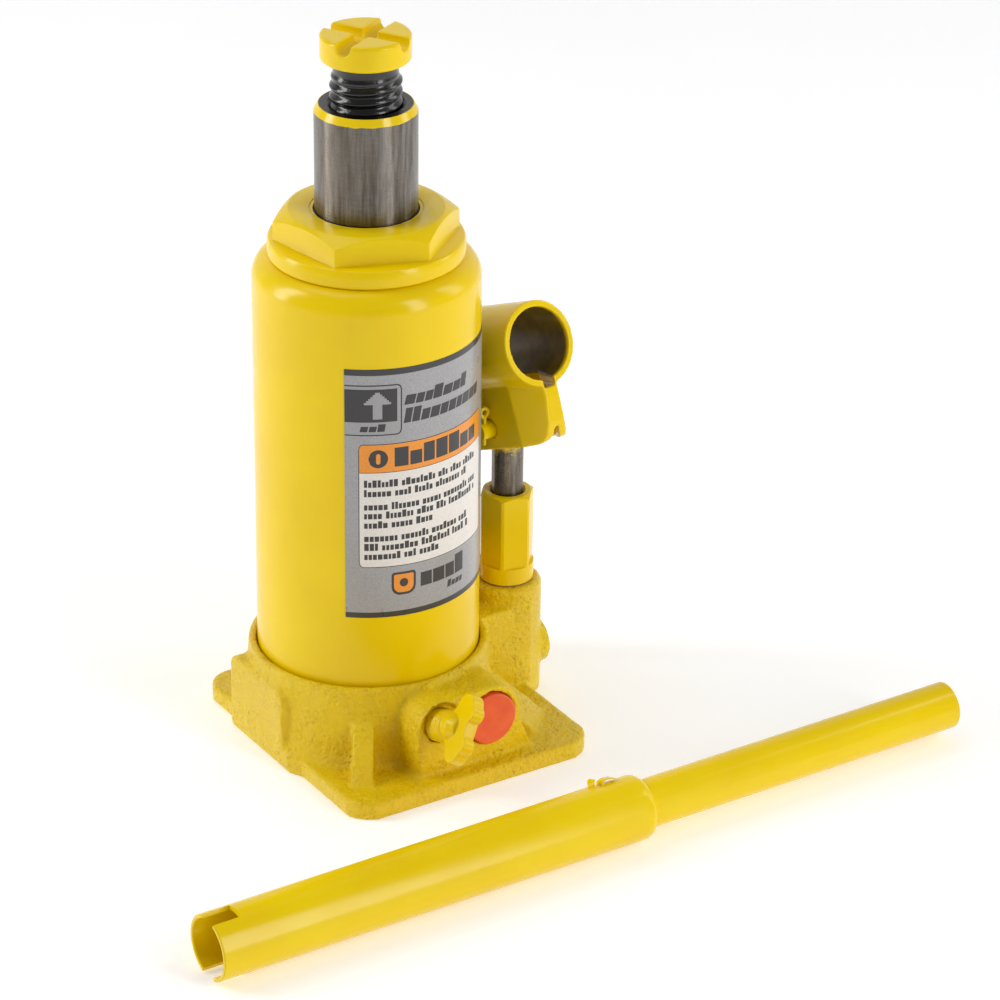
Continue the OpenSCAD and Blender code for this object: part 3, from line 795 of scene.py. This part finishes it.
def split_pin(node_name, body, material):
    """A split pin: an eye and two straight legs through the pin."""
    low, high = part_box(node_name)
    centre = (low + high) / 2
    wire = 0.75 * MM
    eye = 1.7 * MM
    curve = bpy.data.curves.new(node_name + "_wire", "CURVE")
    curve.dimensions = "3D"
    curve.bevel_depth = wire
    curve.bevel_resolution = 3
    curve.use_fill_caps = True
    top = high.z - wire - centre.z
    foot = low.z + wire - centre.z
    neck = top - 2.4 * eye
    points = [Vector((0, -0.35 * MM, foot)), Vector((0, -0.3 * MM, neck))]
    for i in range(9):
        angle = math.radians(-60 + 300 * i / 8)
        points.append(Vector((-eye * math.cos(angle), 0, top - eye + eye * math.sin(angle))))
    points += [Vector((0, 0.3 * MM, neck)), Vector((0, 0.35 * MM, foot))]
    spline = curve.splines.new("POLY")
    spline.points.add(len(points) - 1)
    for target, point in zip(spline.points, points):
        target.co = (*(point + centre), 1.0)
    maker = bpy.data.objects.new("maker", curve)
    bpy.context.scene.collection.objects.link(maker)
    graph = bpy.context.evaluated_depsgraph_get()
    mesh = bpy.data.meshes.new_from_object(maker.evaluated_get(graph))
    bpy.data.objects.remove(maker)
    add_piece(node_name + "_wire", mesh, body, material, node_name)


# The label ----------------------------------------------------------------


class Label:
    """Flat print on the tank's label.

    Places are in millimetres: round the tank from the label's left edge, and down from its top.
    """

    LIFT = 0.02 * MM

    def __init__(self):
        self.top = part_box("label")[1].z
        self.inks = {
            "dark": film("label_ink", colour(46, 44, 46)),
            "orange": film("label_orange", colour(240, 148, 30)),
            "white": film("label_white", colour(232, 226, 220), 0.4),
            "grey": film("label_grey_print", colour(160, 159, 161)),
        }
        self.shapes = {ink: [] for ink in self.inks}

    def point(self, s, depth, lift):
        radius = LABEL_R + lift
        angle = LABEL_LEFT + s / LABEL_R
        return Vector((radius * math.cos(angle), radius * math.sin(angle), self.top - depth))

    def patch(self, ink, s0, s1, d0, d1, layer=1, corner=(0, 0, 0, 0), slant=0.0):
        """A closed thin patch from s0 to s1 and from depth d0 to d1.

        corner has the radii of the top left, top right, bottom left and bottom right corners.
        """
        steps = sorted({s0, s1, *(s0 + i for i in range(1, int(s1 - s0) + 1)),
                        *(s0 + c * k / 5 for c in (corner[0], corner[2]) if c for k in range(6)),
                        *(s1 - c * k / 5 for c in (corner[1], corner[3]) if c for k in range(6))})
        steps = [s for s in steps if s0 <= s <= s1]

        def inset(s, left, right):
            if left and s < s0 + left:
                return left - math.sqrt(max(0.0, left**2 - (s0 + left - s) ** 2))
            if right and s > s1 - right:
                return right - math.sqrt(max(0.0, right**2 - (s - s1 + right) ** 2))
            return 0.0

        lift = self.LIFT * layer
        verts, faces = [], []
        for s in steps:
            high = d0 + inset(s, corner[0], corner[1])
            low = d1 - inset(s, corner[2], corner[3])
            low = max(low, high + 0.01)
            for depth, shift in ((high, slant), (low, 0.0)):
                for level in (lift, -0.01 * MM):
                    verts.append(self.point((s + shift) * MM, depth * MM, level))
        for i in range(len(steps) - 1):
            a, b = 4 * i, 4 * (i + 1)
            faces += [(a, a + 2, b + 2, b), (a + 1, b + 1, b + 3, a + 3),
                      (a, b, b + 1, a + 1), (a + 2, a + 3, b + 3, b + 2)]
        end = 4 * (len(steps) - 1)
        faces += [(0, 1, 3, 2), (end, end + 2, end + 3, end + 1)]
        self.shapes[ink].append((verts, faces))

    def words(self, ink, s0, s1, d0, d1, rng, gap, width, word, slant=0.0, layer=2):
        """A row of blocks grouped like words, which spells nothing.

        width has a block's least and greatest width, and word the blocks in a group.
        """
        s = s0
        while s < s1 - width[0]:
            for _ in range(rng.randint(*word)):
                w = rng.uniform(*width)
                if s + w > s1:
                    break
                tall = rng.random() < 0.25
                shift = (d1 - d0) * 0.28
                self.patch(ink, s, s + w, d0 if tall else d0 + shift, d1, layer, slant=slant)
                s += w + gap
            s += 2.2 * gap + width[0] * 0.4

    def build(self):
        for ink, shapes in self.shapes.items():
            verts, faces = [], []
            for more_verts, more_faces in shapes:
                base = len(verts)
                verts += more_verts
                faces += [tuple(base + i for i in face) for face in more_faces]
            mesh = mesh_from("label_" + ink, verts, faces)
            add_piece("label_print_" + ink, mesh, "jack_body", self.inks[ink], smooth=False)


def label_print():
    label = Label()
    rng = random.Random(11)
    # Capacity box: an outline that runs off the left edge, a dark block with a plain arrow.
    label.patch("dark", 0.1, 21.0, 6.1, 26.2, 1, (0, 2, 0, 2))
    label.patch("grey", 0.1, 20.5, 6.6, 25.7, 2, (0, 1.6, 0, 1.6))
    label.patch("dark", 0.1, 19.2, 7.8, 20.8, 3)
    for i in range(6):
        half = 0.9 + i * 0.8
        label.patch("grey", 12.0 - half, 12.0 + half, 9.0 + i * 0.8, 9.82 + i * 0.8, 4)
    label.patch("grey", 10.3, 13.7, 13.7, 19.6, 4)
    label.words("dark", 5.5, 16.5, 21.6, 24.6, rng, 0.5, (2.0, 2.8), (3, 3), 0.5, 3)
    # Two heavy title rows.
    label.words("dark", 21.8, 53.5, 9.6, 14.8, rng, 0.5, (3.0, 4.4), (7, 7), 1.0)
    label.words("dark", 21.6, 64.5, 16.2, 22.0, rng, 0.5, (2.6, 4.2), (10, 10), 1.0)
    # Panel with an orange head and ruled rows.
    label.patch("dark", 5.0, 64.6, 29.6, 79.6, 1, (2, 2, 2, 2))
    label.patch("orange", 5.3, 64.3, 29.9, 40.9, 2, (1.7, 1.7, 0, 0))
    label.patch("white", 5.3, 64.3, 41.15, 79.3, 2, (0, 0, 1.7, 1.7))
    label.patch("dark", 8.6, 15.8, 31.9, 39.1, 3, (3.6, 3.6, 3.6, 3.6))
    label.patch("orange", 11.4, 13.0, 33.4, 37.6, 4, (0.8, 0.8, 0.8, 0.8))
    label.words("dark", 18.2, 60.5, 31.4, 39.0, rng, 0.7, (4.6, 5.8), (8, 8), 0.0, 3)
    first_rows = [(46.9, 58.6), (50.7, 52.8), (56.1, 59.6), (59.7, 59.8), (63.5, 33.6)]
    last_rows = [(68.9, 52.8), (72.6, 53.2), (76.3, 37.5)]
    for depth, end in first_rows + last_rows:
        label.words("dark", 7.0, end, depth - 2.9, depth, rng, 0.36, (0.95, 1.7), (3, 8), 0.0, 3)
    # Foot: a plain badge and two blocks.
    label.patch("dark", 17.0, 26.4, 82.2, 91.6, 1, (1.2, 1.2, 3.4, 3.4))
    label.patch("orange", 17.9, 25.5, 83.1, 90.6, 2, (0.6, 0.6, 2.7, 2.7))
    label.patch("dark", 20.0, 23.4, 84.9, 88.3, 3, (1.7, 1.7, 1.7, 1.7))
    label.words("dark", 28.4, 50.2, 81.8, 89.6, rng, 0.6, (4.4, 5.4), (4, 4), 0.0, 2)
    label.words("dark", 40.6, 50.2, 91.0, 93.8, rng, 0.4, (1.5, 2.0), (5, 5), 0.4, 2)
    # The part of the label that turns away behind the pump.
    for i in range(9):
        top = 34.0 + 4.4 * i
        label.words("dark", 78.0, 112.0, top, top + 2.4, rng, 0.36, (0.95, 1.7), (3, 8), 0.0, 1)
    label.words("dark", 78.0, 108.0, 22.0, 28.0, rng, 0.6, (3.0, 4.4), (6, 6), 0.8, 1)
    label.build()


# Set ----------------------------------------------------------------------


def aimed(place, ahead):
    """Where a camera or lamp stands at place and looks ahead."""
    turn = ahead.normalized().to_track_quat("-Z", "Y").to_matrix().to_4x4()
    return Matrix.Translation(place) @ turn


def camera():
    """The camera stands front left of the jack and above it, with a long lens."""
    cam = bpy.data.cameras.new("camera")
    cam.lens = CAMERA_LENS
    cam.sensor_width = 36.0
    cam.clip_end = 50
    holder = bpy.data.objects.new("camera", cam)
    bpy.context.scene.collection.objects.link(holder)
    roll = Matrix.Rotation(CAMERA_ROLL, 4, "Z")
    holder.matrix_world = aimed(CAMERA_PLACE, CAMERA_AHEAD) @ roll
    bpy.context.scene.camera = holder


def floor():
    """A white sweep: floor and back wall in one curve."""
    bm = bmesh.new()
    depth, height, radius, half = 2.6, 2.4, 0.9, 4.0
    outline = [(-4.0, 0.0), (depth - radius, 0.0)]
    outline += [
        (depth - radius + radius * math.sin(a), radius - radius * math.cos(a))
        for a in (math.radians(5 * i) for i in range(1, 19))
    ]
    outline.append((depth, height))
    previous = None
    back = Vector((CAMERA_AHEAD.x, CAMERA_AHEAD.y, 0.0)).normalized()
    side = Vector((back.y, -back.x, 0.0))
    for along, up in outline:
        centre = back * along + Vector((0, 0, up))
        pair = [bm.verts.new(centre - side * half), bm.verts.new(centre + side * half)]
        if previous:
            bm.faces.new((previous[0], previous[1], pair[1], pair[0]))
        previous = pair
    mesh = bpy.data.meshes.new("sweep")
    bm.to_mesh(mesh)
    bm.free()
    mesh.polygons.foreach_set("use_smooth", [True] * len(mesh.polygons))
    sweep = bpy.data.objects.new("sweep", mesh)
    bpy.context.scene.collection.objects.link(sweep)
    s = Shader("sweep_paper")
    cloud = s.remap(s.noise(0.4, 2.0), 0.3, 0.7)
    tint = s.blend(cloud, (0.86, 0.86, 0.86, 1), (0.9, 0.9, 0.9, 1))
    glow = {"Emission_Color": (1, 1, 1, 1), "Emission_Strength": 0.3}
    mesh.materials.append(s.set(Base_Color=tint, Roughness=0.7, **glow))


def area_light(name, place, target, size, power):
    light = bpy.data.lights.new(name, "AREA")
    light.shape = "RECTANGLE"
    light.size, light.size_y = size
    light.energy = power
    holder = bpy.data.objects.new(name, light)
    bpy.context.scene.collection.objects.link(holder)
    place = Vector(place)
    holder.matrix_world = aimed(place, Vector(target) - place)


def lights():
    world = bpy.data.worlds.new("studio")
    world.use_nodes = True
    background = world.node_tree.nodes["Background"]
    background.inputs["Color"].default_value = (1.0, 1.0, 1.0, 1.0)
    background.inputs["Strength"].default_value = 0.24
    bpy.context.scene.world = world
    middle = (0.0, 0.0, 0.14)
    area_light("left_box", (-1.12, 0.72, 0.72), middle, (0.4, 1.4), 13.5)
    area_light("right_box", (0.5, -1.36, 0.74), middle, (0.4, 1.4), 10.5)
    area_light("far_box", (1.3, -0.5, 0.8), middle, (0.4, 1.2), 5)
    area_light("top_box", (-0.1, 0.5, 1.9), middle, (1.4, 1.0), 7)


def build():
    # The default view transform washes the yellow out.
    bpy.context.scene.view_settings.view_transform = "Standard"
    camera()
    floor()
    lights()
    dress_cad_nodes()
    cast_base()
    nut_piece()
    socket_piece()
    saddle_piece()
    screw_piece()
    valve_piece()
    tube_piece()
    split_pin("plunger_cotter", "socket", PAINT)
    split_pin("fulcrum_cotter", "socket", BARE)
    split_pin("link_cotter", "link", BARE)
    label_print()


build()
